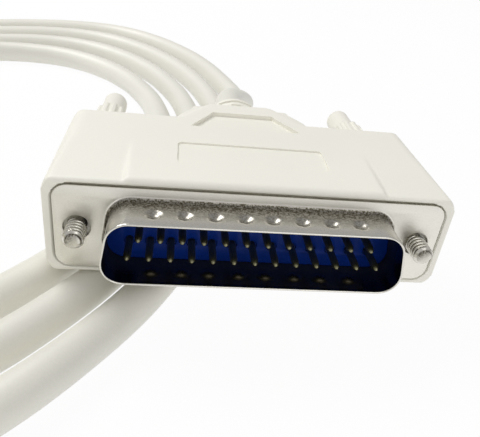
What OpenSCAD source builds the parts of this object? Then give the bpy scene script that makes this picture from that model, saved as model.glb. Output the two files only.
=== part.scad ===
// Twenty-five way D-shaped connector with a moulded hood, two thumbscrews and its own lead.
// The frame is the connector's: X across the flange, -Y out of the mating face, Z up.
// The origin is the middle of the flange's front face, half way between the two screws.
// The lead lies in a loose coil under and behind the hood, and ends in a second connector.

/* [Contacts] */
// Distance from one contact to the next in a row
pitch = 2.77; // [2.6:0.01:2.9]
// Distance between the two rows
row_gap = 2.84; // [2.6:0.01:3]
// Diameter of a contact's pin
pin_d = 1.02; // [0.8:0.01:1.1]
// How far the pins stand in front of the flange
pin_reach = 4.9; // [4:0.1:5.4]
// Diameter of a contact's thick middle
contact_d = 1.7; // [1.5:0.05:1.9]
// Diameter of the wire that a contact's cup takes
cup_bore = 1.1; // [0.8:0.05:1.3]
// Length of a contact's cup behind its insulator
cup_l = 3.6; // [2:0.1:5]
// Thickness of insulator in front of a contact's thick middle
contact_cover = 0.45; // [0.3:0.05:0.8]
// Length of the solid floor in front of a cup's bore
cup_floor = 0.4; // [0.2:0.1:1]

/* [Front shell] */
// Inside width of the shell across its wide side
shell_w = 38.96; // [38.5:0.02:39.6]
// Inside height of the shell
shell_h = 8.36; // [8:0.02:8.8]
// Inside radius of the shell's corners
shell_r = 2.6; // [2:0.1:3]
// Slope of the shell's ends, in degrees
shell_slope = 10; // [5:1:12]
// How far the shell stands in front of the flange
shell_reach = 6; // [5.5:0.1:7]
// Thickness of the front sheet
front_t = 0.45; // [0.3:0.05:0.6]
// Radius of the drawn bend between shell and flange
bend_r = 0.6; // [0.3:0.1:1]
// Width of one pressed-in indent
indent_d = 2.1; // [1.4:0.1:2.4]
// Depth of one pressed-in indent
indent_deep = 0.4; // [0.2:0.05:0.5]
// Distance from one indent to the next
indent_pitch = 3.84; // [3.2:0.02:4.2]
// Indents on each long side
indents = 8; // [2:2:8]
// Distance of the indents in front of the flange
indent_y = 3.42; // [3:0.02:3.8]

/* [Flanges] */
// Distance from the shell's opening to a screw's axis
screw_out = 4.04; // [3.8:0.02:4.6]
// Distance from a screw's axis to the flanges' end
flange_end = 3; // [2.6:0.1:4]
// Height of the flanges
flange_h = 12.55; // [12:0.05:13]
// Radius of the flanges' corners
flange_r = 2; // [1:0.1:3]
// Thickness of the rear sheet
rear_t = 0.5; // [0.3:0.05:0.6]
// Diameter of the flanges' screw holes
flange_hole_d = 3.6; // [3.2:0.1:3.8]
// Depth of the rear shell's sleeve
sleeve_deep = 5.6; // [4:0.1:6.5]

/* [Insulators] */
// How far the front insulator's face stands in front of the flange
nose = 0.2; // [0.1:0.1:1]
// Wall of insulator around the front shell's opening
collar_out = 0.7; // [0.5:0.05:0.9]
// Thickness of the collar of the front insulator
collar_t = 1.9; // [1.2:0.1:2.4]
// Length of the rear insulator
rear_l = 4.5; // [3.5:0.1:5]

/* [Thumbscrews] */
// Outer diameter of a screw's threaded end
screw_d = 2.84; // [2.5:0.02:3]
// Diameter of a screw's plain shank
shank_d = 2.2; // [1.8:0.05:2.3]
// How far a screw stands in front of the flange
screw_reach = 3.4; // [1:0.1:6]
// Diameter of a thumb head's grooved barrel
barrel_d = 6.4; // [5.6:0.1:7]
// Length of a thumb head's grooved barrel
barrel_l = 15.5; // [8:0.5:18]
// Grooves around the barrel
barrel_grooves = 12; // [8:2:16]
// Width of one groove
groove_w = 0.9; // [0.5:0.1:1.2]
// Diameter of a thumb head's plain end
tail_d = 4.6; // [3.8:0.1:5.4]
// Length of a thumb head's plain end
tail_l = 8; // [3:0.5:10]

/* [Hood] */
// Wall of the hood beside the flanges
hood_side = 1.28; // [0.8:0.02:2.5]
// Wall of the hood above and below the flanges
hood_over = 1.425; // [1:0.025:2.2]
// Wall of the hood around its inner mould
core_side = 0.5; // [0.3:0.1:0.8]
// Wall of the hood behind its inner mould
core_back = 2; // [1:0.5:3]
// Depth of the hood's body behind the flange
hood_deep = 24; // [20:0.5:28]
// Radius of the hood's front edges seen from the side
hood_front_r = 1; // [0.4:0.1:1.6]
// Radius of the hood's rear edges seen from the side
hood_rear_r = 1.6; // [0.6:0.1:2.4]
// Radius of the hood's long edges
hood_edge_r = 2.6; // [1.5:0.1:3.5]
// Radius of the hood's rear corners seen from above
hood_corner_r = 2.4; // [1:0.1:4]
// Distance from a screw's axis in to the raised middle
ear_in = 6.22; // [5:0.02:8]
// How much lower the ears start than the middle
ear_drop = 0.5; // [0.2:0.05:1]
// Where the ears reach the middle's height
ear_rise_y = 13; // [8:0.5:16]
// Width of the neck where it leaves the body
neck_w = 25; // [20:0.5:30]
// Width of the neck's rear end
neck_end_w = 17; // [13:0.5:20]
// Radius of the neck's rear corners seen from above
neck_end_r = 2.5; // [1:0.1:3]
// Radius of the neck's rear edges seen from the side
neck_top_r = 2.2; // [1:0.1:3]
// How far the neck's straight sides reach into the hood's body
neck_in = 1.5; // [1:0.5:3]
// Length of the neck
neck_l = 7.5; // [5:0.5:12]
// Height of the neck
neck_h = 14.4; // [11:0.1:15]

/* [Hood panels] */
// Width of the bare label panel
panel_w = 21.6; // [14:0.2:28]
// Front edge of the bare label panel
panel_y = 2; // [1:0.5:4]
// Length of the bare label panel from front to rear
panel_l = 9; // [6:0.5:11]
// Radius of the panel's rear corners
panel_r = 0.8; // [0.3:0.1:2]
// Depth of the panel at its rear edge
panel_deep = 0.4; // [0.2:0.05:0.8]
// Width of the thumb rest at its front
rest_w = 17; // [12:0.5:22]
// Width of the thumb rest at its rear
rest_end_w = 10.2; // [8:0.2:16]
// Front of the thumb rest
rest_y = 17; // [14:0.5:19]
// Depth of the thumb rest at its rear
rest_deep = 0.7; // [0.3:0.05:1]

/* [Strain relief] */
// Diameter of the strain relief at the neck
relief_d = 9.4; // [8:0.1:11]
// Diameter of the strain relief at its end
relief_end_d = 7.2; // [6.6:0.1:8]
// Length of the strain relief
relief_l = 14; // [10:0.5:24]
// Number of rings on the strain relief
relief_rings = 5; // [3:1:7]
// Width of the slot between two rings
relief_slot = 0.9; // [0.5:0.1:1.5]
// Diameter of the strain relief inside its slots
relief_core_d = 6.6; // [6.2:0.1:6.8]
// Distance from the neck to the first slot
relief_start = 2; // [1:0.5:3]
// Length of plain sleeve behind the last ring
relief_tip = 1; // [0.5:0.5:2]

/* [Lead] */
// Diameter of the lead
cable_d = 5.8; // [5.2:0.1:6.4]
// Length of loose wire between the cups and the lead
wire_l = 2; // [1:0.5:3]
// Length of the crimped ferrule
ferrule_l = 5; // [3:0.5:7]
// Thickness of the ferrule's wall
ferrule_t = 0.4; // [0.3:0.05:0.6]

/* [Fits] */
// Gap around a screw in its bore
screw_gap = 0.08; // [0.05:0.01:0.1]
// Gap around the flanges in the hood's mouth
mouth_gap = 0.2; // [0.1:0.05:0.3]
// Gap around an insulator in its shell
insulator_gap = 0.05; // [0.03:0.01:0.1]
// Gap around a contact in its hole
contact_gap = 0.03; // [0.02:0.01:0.06]
// Gap between a thumb head and the hood
head_gap = 0.3; // [0.2:0.05:0.5]

/* [Hidden] */
$fn = 48;
COLUMNS = 13;
function two(n) = n < 10 ? str("0", n) : str(n);

MOULD_COLOR = [0.93, 0.91, 0.86];
NICKEL_COLOR = [0.78, 0.77, 0.74];
BLUE_COLOR = [0.02, 0.12, 0.4];
PIN_COLOR = [0.55, 0.53, 0.42];
CORE_COLOR = [0.85, 0.84, 0.8];

// Places along the mating axis, counted backwards from the flange's front face
flanges_t = front_t + rear_t;
collar_end_y = front_t + collar_t;
rear_end_y = collar_end_y + rear_l;
cup_end_y = rear_end_y + cup_l;
cable_start_y = cup_end_y + wire_l;
core_end_y = hood_deep - core_back;
neck_end_y = hood_deep + neck_l;
relief_end_y = neck_end_y + relief_l;
barrel_end_y = hood_deep + head_gap + barrel_l;

// Sizes across the connector that follow from the shell's
screw_x = shell_w / 2 + screw_out;
flange_w = 2 * (screw_x + flange_end);
hood_w = flange_w + 2 * hood_side;
hood_h = flange_h + 2 * hood_over;
middle_half = screw_x - ear_in;
core_w = shell_w + 2 * (collar_out + rear_t + core_side);
core_h = shell_h + 2 * (collar_out + rear_t + core_side);
core_r = shell_r;
floor_z = -hood_h / 2 - cable_d;

// Where the second connector lies, with its hood on the near side of the coil
FAR_PLACE = [-80, -36, 0];

// Route of the lead from the strain relief to the outer turn of its coil
LEAD_ROUTE = [[0, 45.5, 0], [0, 51, 0], [0.9, 57, -0.9], [2.9, 64, -3.1], [5.1, 71, -5.8],
    [6.4, 77.5, -8.3], [6.4, 83, -10], [5.2, 88.2, -10.6]];
// Route of the lead from the inner turn to the second connector
TAIL_ROUTE = [[-55.6, 114.9, -10.6], [-62, 114.7, -10.6], [-68, 113, -10.6], [-73.4, 109.4, -10.6],
    [-77.4, 104, -10.6], [-79.6, 97.5, -10.6], [-80.4, 90, -10.6], [-80.6, 79, -10.6],
    [-80.5, 67, -10.6], [-80.3, 55, -10.5], [-80.2, 45, -9.4], [-80.1, 36, -7], [-80, 28, -4.1],
    [-80, 20, -1.5], [-80, 14, -0.2], [-80, 9.5, 0]];

// The coil is an oval with an egg-shaped lean. Its turns are numbered outwards, and the oval
// of turn w is the envelope of the tangents whose distance from its middle is oval_p.
function oval_r(w) = 55 + 8.6 * w;
function oval_stretch(w) = 10 + 1.7 * w;
function oval_egg(w) = 0.7 * w;
function oval_middle(w) = [-62 + w, 49 + 2 * w];
function oval_p(w, a) = oval_r(w) + oval_stretch(w) * cos(2 * (a - 83))
    + oval_egg(w) * cos(3 * (a + 60));
function oval_q(w, a) = -2 * oval_stretch(w) * sin(2 * (a - 83))
    - 3 * oval_egg(w) * sin(3 * (a + 60));
function oval_point(w, a) = oval_middle(w)
    + oval_p(w, a) * [cos(a), sin(a)] + oval_q(w, a) * [-sin(a), cos(a)];

// The lead winds inwards: the turn it has reached at an angle counted on from its first round
function turn_at(a) = 3.1 - (a - 90) / 360;
COIL_START = 10;
COIL_END = 1170;
COIL_STEP = 6;

// How far a cutting shape runs past the faces that it cuts
OVER = 1;

// ---- shared shapes ----

// Turns a shape drawn upright, with +Z as the way out of the mating face, into the part's frame
module face_on() {
    rotate([90, 0, 0]) children();
}

// Stands a shape between two places counted backwards from the flange
module between(front_y, back_y) {
    translate([0, 0, -back_y]) linear_extrude(back_y - front_y) children();
}

module round_rect(w, h, r) {
    square([w - 2 * r, h], center = true);
    square([w, h - 2 * r], center = true);
    for (x = [-1, 1], y = [-1, 1]) {
        translate([x * (w / 2 - r), y * (h / 2 - r)]) circle(r);
    }
}

// One round corner of the D outline, from one direction to another
CORNER_STEPS = 10;
function corner(middle, r, from, to) = [for (i = [0:CORNER_STEPS])
    let (a = from + (to - from) * i / CORNER_STEPS) middle + r * [cos(a), sin(a)]];

// The D outline, wide side down, with round corners and sloping ends
module d_outline(w, h, r) {
    low = [w / 2 - r, -h / 2 + r];
    high = [w / 2 - r - (h - 2 * r) * tan(shell_slope), h / 2 - r];
    half = concat(corner(low, r, -90, shell_slope), corner(high, r, shell_slope, 90));
    polygon(concat(half, [for (i = [len(half) - 1:-1:0]) [-half[i][0], half[i][1]]]));
}

module d_grown(by) {
    d_outline(shell_w + 2 * by, shell_h + 2 * by, shell_r + by);
}

module at_screws() {
    for (x = [-1, 1]) {
        translate([x * screw_x, 0, 0]) children();
    }
}

// Contact number 1 to 25: thirteen in the lower row, twelve in the upper
function contact_x(n) = n <= COLUMNS
    ? (n - (COLUMNS + 1) / 2) * pitch
    : (n - COLUMNS - COLUMNS / 2) * pitch;
function contact_y(n) = (n <= COLUMNS ? -1 : 1) * row_gap / 2;
LAST_CONTACT = 2 * COLUMNS - 1;

module at_contacts() {
    for (n = [1:LAST_CONTACT]) {
        translate([contact_x(n), contact_y(n), 0]) children();
    }
}

// ---- connector pieces ----

module indents_on_d(r) {
    // ball centres stand outside the shell, so that the ball dips indent_deep into it
    ball = (indent_d * indent_d / 4 + indent_deep * indent_deep) / (2 * indent_deep);
    out = shell_h / 2 + front_t + ball - indent_deep;
    for (y = [-1, 1], i = [0:indents - 1]) {
        translate([(i - (indents - 1) / 2) * indent_pitch, y * out, indent_y])
            sphere(ball + r);
    }
}

module front_shell_solid() {
    difference() {
        union() {
            difference() {
                union() {
                    between(0, front_t) round_rect(flange_w, flange_h, flange_r);
                    between(-shell_reach, 0) d_grown(front_t);
                    bend();
                }
                translate([0, 0, -front_t - OVER]) linear_extrude(shell_reach + front_t + 2 * OVER)
                    d_grown(0);
            }
            intersection() {
                indents_on_d(front_t);
                translate([0, 0, front_t]) linear_extrude(shell_reach - 2 * front_t)
                    d_grown(front_t / 2);
            }
        }
        indents_on_d(0);
        at_screws() between(-OVER, front_t + OVER) circle(d = flange_hole_d);
    }
}

// Drawn bend between the shell's wall and the flange's face, as one sloping band
module bend() {
    root = front_t / 2;
    hull() {
        between(-root / 4, root) d_grown(front_t + bend_r);
        between(-bend_r - root, -bend_r) d_grown(front_t - root / 2);
    }
}

module rear_shell_solid() {
    difference() {
        union() {
            between(front_t, flanges_t) round_rect(flange_w, flange_h, flange_r);
            between(flanges_t, flanges_t + sleeve_deep) d_grown(collar_out + rear_t);
        }
        between(0, flanges_t + sleeve_deep + OVER) d_grown(collar_out);
        at_screws() between(0, flanges_t + OVER) circle(d = flange_hole_d);
    }
}

module front_insulator_solid() {
    difference() {
        union() {
            between(-nose, front_t) d_grown(-insulator_gap);
            between(front_t, collar_end_y) d_grown(collar_out - insulator_gap);
        }
        at_contacts() {
            between(-nose - OVER, collar_end_y) circle(pin_d / 2 + contact_gap, $fn = 24);
            between(front_t + contact_cover, collar_end_y + OVER)
                circle(contact_d / 2 + contact_gap, $fn = 24);
        }
    }
}

module rear_insulator_solid() {
    difference() {
        between(collar_end_y, rear_end_y) d_grown(collar_out - insulator_gap);
        at_contacts() between(collar_end_y - OVER, rear_end_y + OVER)
            circle(contact_d / 2 + contact_gap, $fn = 24);
    }
}

// A turned pin with a ball tip, a thick middle and a cut-away solder cup
module contact_solid() {
    shoulder_y = front_t + contact_cover;
    tip_r = pin_d / 2;
    difference() {
        union() {
            rotate_extrude($fn = 24) intersection() {
                union() {
                    translate([0, -shoulder_y]) square([tip_r, pin_reach + shoulder_y - tip_r]);
                    translate([0, pin_reach - tip_r]) circle(tip_r);
                }
                translate([0, -shoulder_y]) square([tip_r, pin_reach + shoulder_y]);
            }
            between(shoulder_y, cup_end_y) circle(contact_d / 2, $fn = 24);
        }
        between(rear_end_y + cup_floor, cup_end_y + OVER) circle(cup_bore / 2, $fn = 24);
        translate([0, contact_d / 2, -cup_end_y]) cube([contact_d, contact_d, cup_l], center = true);
    }
}

// A threaded end in front of the flange and a plain shank behind it
module screw_solid() {
    chamfer = screw_d * 0.15;
    shank_l = barrel_end_y;
    translate([0, 0, -shank_l]) rotate_extrude() polygon([[0, 0], [shank_d / 2, 0],
        [shank_d / 2, shank_l], [screw_d / 2, shank_l], [screw_d / 2, shank_l + screw_reach - chamfer],
        [screw_d / 2 - chamfer, shank_l + screw_reach], [0, shank_l + screw_reach]]);
}

// A moulded head: a grooved barrel next to the hood, then a plain end with a rounded rim
module thumb_head_solid() {
    front_y = hood_deep + head_gap;
    rim = tail_d * 0.12;
    edge = groove_w / 2;
    difference() {
        translate([0, 0, -barrel_end_y - tail_l]) rotate_extrude() polygon([[0, 0],
            [tail_d / 2 - rim, 0], [tail_d / 2, rim], [tail_d / 2, tail_l - edge],
            [barrel_d / 2 - edge, tail_l], [barrel_d / 2, tail_l + edge],
            [barrel_d / 2, tail_l + barrel_l - edge], [barrel_d / 2 - edge, tail_l + barrel_l],
            [0, tail_l + barrel_l]]);
        between(front_y - OVER, barrel_end_y) circle(d = shank_d);
        for (i = [0:barrel_grooves - 1]) {
            rotate([0, 0, i * 360 / barrel_grooves]) translate([barrel_d / 2, 0, 0])
                between(front_y + 4 * edge, barrel_end_y + edge) circle(d = groove_w, $fn = 16);
        }
    }
}

// ---- hood ----

// Wedge from nothing at y0 to deep at y1, cut down from a height
module sloped_cut(y0, y1, deep0, deep1, top, wide) {
    rotate([90, 0, 90]) translate([0, 0, -wide / 2]) linear_extrude(wide)
        polygon([[y0, top - deep0], [y1, top - deep1], [y1, top + OVER], [y0, top + OVER]]);
}

module hood_body() {
    intersection() {
        translate([0, 0, -hood_h]) linear_extrude(2 * hood_h) difference() {
            translate([0, hood_deep / 2 - hood_corner_r])
                round_rect(hood_w, hood_deep + 2 * hood_corner_r, hood_corner_r);
            translate([-hood_w, -4 * hood_corner_r]) square([2 * hood_w, 4 * hood_corner_r]);
        }
        face_on() between(-OVER, hood_deep + OVER) round_rect(hood_w, hood_h, hood_edge_r);
        rotate([90, 0, 90]) translate([0, 0, -hood_w]) linear_extrude(2 * hood_w) {
            square_r(hood_deep, hood_h, hood_front_r, hood_rear_r);
        }
    }
}

// Side profile with its own front and rear radius; it starts at x = 0
module square_r(l, h, front, rear) {
    translate([0, -h / 2 + front]) square([l, h - 2 * front]);
    translate([front, -h / 2]) square([l - front - rear, h]);
    for (y = [-1, 1]) {
        translate([front, y * (h / 2 - front)]) circle(front);
        intersection() {
            translate([l - rear, y * (h / 2 - rear)]) circle(rear);
            translate([l - rear, -h / 2]) square([rear, h]);
        }
    }
}

module ear_cuts() {
    ear_w = hood_w / 2 - middle_half + OVER;
    for (x = [-1, 1], z = [0, 1]) {
        mirror([0, 0, z]) translate([x * (middle_half + ear_w / 2), 0, 0])
            sloped_cut(-OVER, ear_rise_y, ear_drop * (1 + OVER / ear_rise_y), 0, hood_h / 2, ear_w);
    }
}

module neck() {
    root_y = hood_deep - 2 * neck_in;
    corner_x = neck_end_w / 2 - neck_end_r;
    intersection() {
        translate([0, 0, -hood_h]) linear_extrude(2 * hood_h) {
            polygon([[-neck_w / 2, root_y], [neck_w / 2, root_y],
                [neck_w / 2, hood_deep - neck_in], [neck_end_w / 2, neck_end_y - neck_end_r],
                [corner_x, neck_end_y], [-corner_x, neck_end_y],
                [-neck_end_w / 2, neck_end_y - neck_end_r], [-neck_w / 2, hood_deep - neck_in]]);
            for (x = [-1, 1]) {
                translate([x * corner_x, neck_end_y - neck_end_r]) circle(neck_end_r);
            }
        }
        face_on() between(root_y, neck_end_y + OVER) round_rect(neck_w, neck_h, hood_edge_r);
        translate([0, root_y, 0]) rotate([90, 0, 90]) translate([0, 0, -hood_w / 2])
            linear_extrude(hood_w)
            square_r(neck_end_y - root_y, neck_h, hood_front_r / 2, neck_top_r);
    }
}

// Tapered sleeve with slots that let it bend; the slots leave two bridges each
module strain_relief() {
    ring_pitch = (relief_l - relief_start - relief_tip) / relief_rings;
    difference() {
        translate([0, 0, -relief_end_y])
            cylinder(d1 = relief_end_d, d2 = relief_d, h = relief_l + OVER);
        for (i = [0:relief_rings - 1]) {
            y = neck_end_y + relief_start + i * ring_pitch;
            between(y, y + relief_slot) difference() {
                circle(d = relief_d + OVER);
                circle(d = relief_core_d);
            }
        }
    }
}

// Bare label panel: a shallow wedge with round rear corners
module panel_cut() {
    rear_y = panel_y + panel_l;
    intersection() {
        sloped_cut(panel_y, rear_y, 0, panel_deep, hood_h / 2, panel_w);
        translate([0, rear_y / 2, 0]) linear_extrude(hood_h) round_rect(panel_w, rear_y, panel_r);
    }
}

// Thumb rest: a wedge that deepens and narrows towards the hood's rear
module rest_cut() {
    intersection() {
        sloped_cut(rest_y, hood_deep, 0, rest_deep, hood_h / 2, rest_w);
        linear_extrude(hood_h) polygon([[-rest_w / 2, rest_y], [rest_w / 2, rest_y],
            [rest_end_w / 2, hood_deep + 0.01], [-rest_end_w / 2, hood_deep + 0.01]]);
    }
}

module hood_solid() {
    difference() {
        union() {
            hood_body();
            neck();
            face_on() strain_relief();
        }
        ear_cuts();
        panel_cut();
        rest_cut();
        face_on() {
            between(-OVER, flanges_t)
                round_rect(flange_w + 2 * mouth_gap, flange_h + 2 * mouth_gap, flange_r + mouth_gap);
            between(0, core_end_y) round_rect(core_w, core_h, core_r);
            between(core_end_y - OVER, relief_end_y + OVER) circle(d = cable_d);
            at_screws() between(0, hood_deep + OVER) circle(d = shank_d + 2 * screw_gap);
        }
    }
}

// Hard inner mould that locks the shells, cups, ferrule and lead together
module inner_mould_solid() {
    difference() {
        between(flanges_t, core_end_y) round_rect(core_w, core_h, core_r);
        between(0, flanges_t + sleeve_deep) d_grown(collar_out + rear_t);
        between(0, rear_end_y) d_grown(collar_out);
        at_contacts() between(0, cup_end_y) circle(contact_d / 2 + contact_gap, $fn = 24);
        between(cable_start_y, core_end_y + OVER) circle(d = cable_d);
        between(core_end_y - ferrule_l, core_end_y + OVER) circle(d = cable_d + 2 * ferrule_t);
    }
}

module ferrule_solid() {
    between(core_end_y - ferrule_l, core_end_y) difference() {
        circle(d = cable_d + 2 * ferrule_t);
        circle(d = cable_d);
    }
}

module lead_end_solid() {
    between(cable_start_y, relief_end_y) circle(d = cable_d);
}

// ---- lead ----

function unit(v) = v / norm(v);
function heading(route, i) = unit(route[min(i + 1, len(route) - 1)] - route[max(i - 1, 0)]);
function ring_at(route, i, sides) = let (
        ahead = heading(route, i),
        side = unit(cross(ahead, [0, 0, 1])),
        over = cross(side, ahead))
    [for (k = [0:sides - 1]) route[i]
        + cable_d / 2 * (cos(k * 360 / sides) * side + sin(k * 360 / sides) * over)];

// A plain round tube along a list of points, closed at both ends
module tube(route, sides = 12) {
    n = len(route);
    points = [for (i = [0:n - 1]) each ring_at(route, i, sides)];
    walls = [for (i = [0:n - 2], k = [0:sides - 1])
        [i * sides + k, i * sides + (k + 1) % sides,
            (i + 1) * sides + (k + 1) % sides, (i + 1) * sides + k]];
    polyhedron(points, concat([[for (k = [sides - 1:-1:0]) k]], walls,
        [[for (k = [0:sides - 1]) (n - 1) * sides + k]]));
}

// Outline of one full turn of the spiral, from an angle on, moved out by a distance
module turn_outline(from, out) {
    polygon([for (a = [from:COIL_STEP:from + 360])
        oval_point(turn_at(a), a) + out * [cos(a), sin(a)]]);
}

module lead_coil() {
    color(MOULD_COLOR) translate([0, 0, floor_z]) linear_extrude(cable_d) difference() {
        turn_outline(COIL_START, cable_d / 2);
        turn_outline(COIL_END - 360, -cable_d / 2);
    }
}

module lead() {
    color(MOULD_COLOR) tube(LEAD_ROUTE);
}

module lead_tail() {
    color(MOULD_COLOR) tube(TAIL_ROUTE);
}

// ---- nodes of the connector at the origin ----

module hood() {
    color(MOULD_COLOR) hood_solid();
}

module front_shell() {
    color(NICKEL_COLOR) face_on() front_shell_solid();
}

module rear_shell() {
    color(NICKEL_COLOR) face_on() rear_shell_solid();
}

module front_insulator() {
    color(BLUE_COLOR) face_on() front_insulator_solid();
}

module rear_insulator() {
    color(BLUE_COLOR) face_on() rear_insulator_solid();
}

module inner_mould() {
    color(CORE_COLOR) face_on() inner_mould_solid();
}

module ferrule() {
    color(NICKEL_COLOR) face_on() ferrule_solid();
}

module lead_end() {
    color(MOULD_COLOR) face_on() lead_end_solid();
}

module contact(n) {
    color(PIN_COLOR) face_on() translate([contact_x(n), contact_y(n), 0]) contact_solid();
}

module screw(side) {
    color(NICKEL_COLOR) translate([side * screw_x, 0, 0]) face_on() screw_solid();
}

module thumb_head(side) {
    color(MOULD_COLOR) translate([side * screw_x, 0, 0]) face_on() thumb_head_solid();
}

module far_contacts() {
    for (n = [1:LAST_CONTACT]) {
        contact(n);
    }
}

module far() {
    translate(FAR_PLACE) children();
}

hood();
front_shell();
rear_shell();
front_insulator();
rear_insulator();
inner_mould();
ferrule();
lead_end();
for (n = [1:LAST_CONTACT]) contact(n);
screw(-1);  // left_screw
thumb_head(-1);  // left_thumb_head
screw(1);  // right_screw
thumb_head(1);  // right_thumb_head
lead();
lead_coil();
lead_tail();
far() hood();  // far_hood
far() front_shell();  // far_front_shell
far() rear_shell();  // far_rear_shell
far() front_insulator();  // far_front_insulator
far() rear_insulator();  // far_rear_insulator
far() inner_mould();  // far_inner_mould
far() ferrule();  // far_ferrule
far() lead_end();  // far_lead_end
far() far_contacts();
far() screw(-1);  // far_left_screw
far() thumb_head(-1);  // far_left_thumb_head
far() screw(1);  // far_right_screw
far() thumb_head(1);  // far_right_thumb_head
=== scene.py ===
import math

import bmesh
import bpy
from mathutils import Matrix, Vector


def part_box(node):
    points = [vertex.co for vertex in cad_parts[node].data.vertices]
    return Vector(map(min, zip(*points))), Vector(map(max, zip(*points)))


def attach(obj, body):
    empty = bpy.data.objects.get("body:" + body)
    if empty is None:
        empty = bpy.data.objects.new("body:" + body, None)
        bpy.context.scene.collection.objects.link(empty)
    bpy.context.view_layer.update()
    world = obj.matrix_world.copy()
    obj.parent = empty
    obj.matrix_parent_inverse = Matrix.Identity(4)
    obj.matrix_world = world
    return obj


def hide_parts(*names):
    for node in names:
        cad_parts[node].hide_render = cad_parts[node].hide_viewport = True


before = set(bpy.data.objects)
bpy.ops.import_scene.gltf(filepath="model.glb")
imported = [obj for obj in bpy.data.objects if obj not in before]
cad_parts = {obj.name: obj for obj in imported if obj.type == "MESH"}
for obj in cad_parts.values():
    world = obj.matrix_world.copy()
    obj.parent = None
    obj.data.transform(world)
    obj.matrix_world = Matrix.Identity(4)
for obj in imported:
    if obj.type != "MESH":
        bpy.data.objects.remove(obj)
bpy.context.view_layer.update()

bl_info = {
    "name": "D-shaped connector and lead",
    "version": (1, 0, 0),
    "blender": (4, 5, 0),
    "location": "View3D > Sidebar > Connector",
    "description": "Dresses a D-shaped connector, its moulded hood, thumbscrews and coiled lead",
    "category": "Object",
}

MM = 0.001
HOOD_LOW, HOOD_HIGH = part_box("hood")
SHELL_LOW, SHELL_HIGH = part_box("front_shell")
FAR_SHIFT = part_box("far_hood")[0] - HOOD_LOW
FLOOR_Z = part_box("lead_coil")[0].z
SCREW_X = (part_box("right_screw")[0].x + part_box("right_screw")[1].x) / 2
ROOT = "connector"
SIDES = {"left": -1, "right": 1}
CONTACTS = range(1, 26)
LOWER_ROW = 13
ROW_GAP = 2.84 * MM
SHEET_BACK = 0.95 * MM

# How finely the pieces are made, and how closely their points are told apart
GRID = 0.25 * MM
BEND_STEPS = 6
CORNER_STEPS = 10
ROUND_STEPS = 48
THREAD_STEPS = 40
PIN_STEPS = 20
TIP_STEP = 12
FINE_CUTS = 127
WELD = 0.001 * MM
SLACK = 0.02 * MM
SHALLOW = 0.05 * MM
NEARLY = 0.99

# The lead's route in millimetres, with the coil between its two ends
LEAD_ROUTE = [(0, 45.5, 0), (0, 51, 0), (0.9, 57, -0.9), (2.9, 64, -3.1), (5.1, 71, -5.8),
              (6.4, 77.5, -8.3), (6.4, 83, -10), (5.2, 88.2, -10.6)]
TAIL_ROUTE = [(-62, 114.7, -10.6), (-68, 113, -10.6), (-73.4, 109.4, -10.6), (-77.4, 104, -10.6),
              (-79.6, 97.5, -10.6), (-80.4, 90, -10.6), (-80.6, 79, -10.6), (-80.5, 67, -10.6),
              (-80.3, 55, -10.5), (-80.2, 45, -9.4), (-80.1, 36, -7), (-80, 28, -4.1),
              (-80, 20, -1.5), (-80, 14, -0.2), (-80, 9.5, 0)]

# The coil in millimetres and degrees: its middle, how wide its turns are and how they lean
COIL_START, COIL_END, COIL_STEP = 10, 1170, 12
COIL_X, COIL_Y = -62, 49
COIL_R, COIL_PITCH, COIL_LIFT = 55, 8.6, 2.9
OUTER_TURN, OUTER_ANGLE = 3.1, 90
OVAL_STRETCH, OVAL_GROWTH, OVAL_TILT = 10, 1.7, 83
EGG_GROWTH, EGG_TILT = 0.7, 60

# The camera's place in metres, the way it looks and its upper side
CAMERA_PLACE = (-0.011618, -0.061957, 0.040252)
CAMERA_AHEAD = (0.13052, 0.84772, -0.51413)
CAMERA_UP = (-0.05205, 0.52371, 0.85031)

# Each lamp's name, place, the point that it faces, and its power in watts
LAMP_W = 0.3
LAMPS = (("Key light", (-0.3, 0.26, 0.46), (0, 0.02, 0), 2.15),
         ("Front light", (0.15, -0.4, 0.3), (0, 0, 0), 0.35))

# Between these two shares of Y, the sky fades from its front strength to its even one
SKY_BAND = -0.8, 0.2


# ---- sizes and colours ----

def a_length(title, text, size):
    """A length that a user can change, with its default in millimetres."""
    return bpy.props.FloatProperty(name=title, description=text, default=size * MM, unit="LENGTH")


def a_share(title, text, share):
    """A share from none to all that a user can change."""
    return bpy.props.FloatProperty(
        name=title, description=text, subtype="FACTOR", default=share, min=0, max=1)


def a_number(title, text, value):
    """A plain number that a user can change."""
    return bpy.props.FloatProperty(name=title, description=text, default=value)


def a_count(title, text, count):
    """A whole number that a user can change."""
    return bpy.props.IntProperty(name=title, description=text, default=count)


def a_color(title, text, color):
    """A colour that a user can change."""
    return bpy.props.FloatVectorProperty(
        name=title, description=text, subtype="COLOR", default=color, min=0, max=1)


class ConnectorLeadSizes(bpy.types.PropertyGroup):
    diameter: a_length("Lead diameter", "Outer diameter of the lead's sheath", 5.8)
    color: a_color("Sheath colour", "Colour of the lead's sheath", (0.79, 0.775, 0.7))
    roughness: a_share("Sheath roughness", "Roughness of the lead's sheath", 0.42)


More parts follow.
